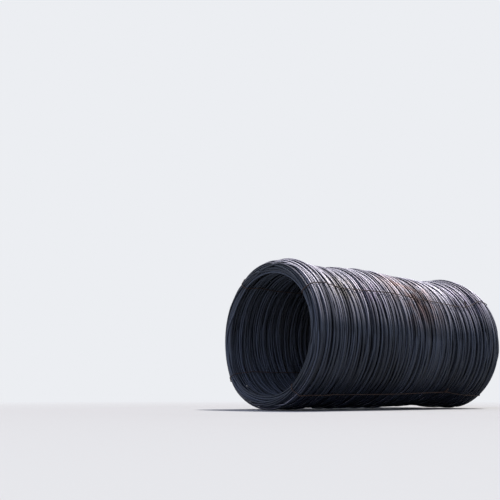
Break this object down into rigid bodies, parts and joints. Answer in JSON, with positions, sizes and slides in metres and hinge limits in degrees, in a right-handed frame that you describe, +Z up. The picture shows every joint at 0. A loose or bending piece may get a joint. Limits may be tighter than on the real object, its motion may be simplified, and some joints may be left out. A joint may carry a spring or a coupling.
{
  "type": "coil of wire rod",
  "caption": "Compacted coil of plain round hot-rolled steel wire rod with an open eye, bound through the eye by tie wires, lying on its side.",
  "frame": {"origin": "centre of the bounding box's bottom: on the floor under the middle of the coil", "axes": "+Z up; the coil's axis is level and runs along Y, with the mouth that the picture shows at -Y; +X is to the right, seen from the mouth"},
  "size_m": [1.2798, 2.3946, 1.2798],
  "materials": {
    "wire_rod": "satin",
    "tie_wire": "satin"
  },
  "bodies": {
    "root": {"rod_coil": "wire_rod", "tie_wire_1": "tie_wire", "tie_wire_2": "tie_wire", "tie_wire_3": "tie_wire", "tie_wire_4": "tie_wire"}
  },
  "joints": []
}
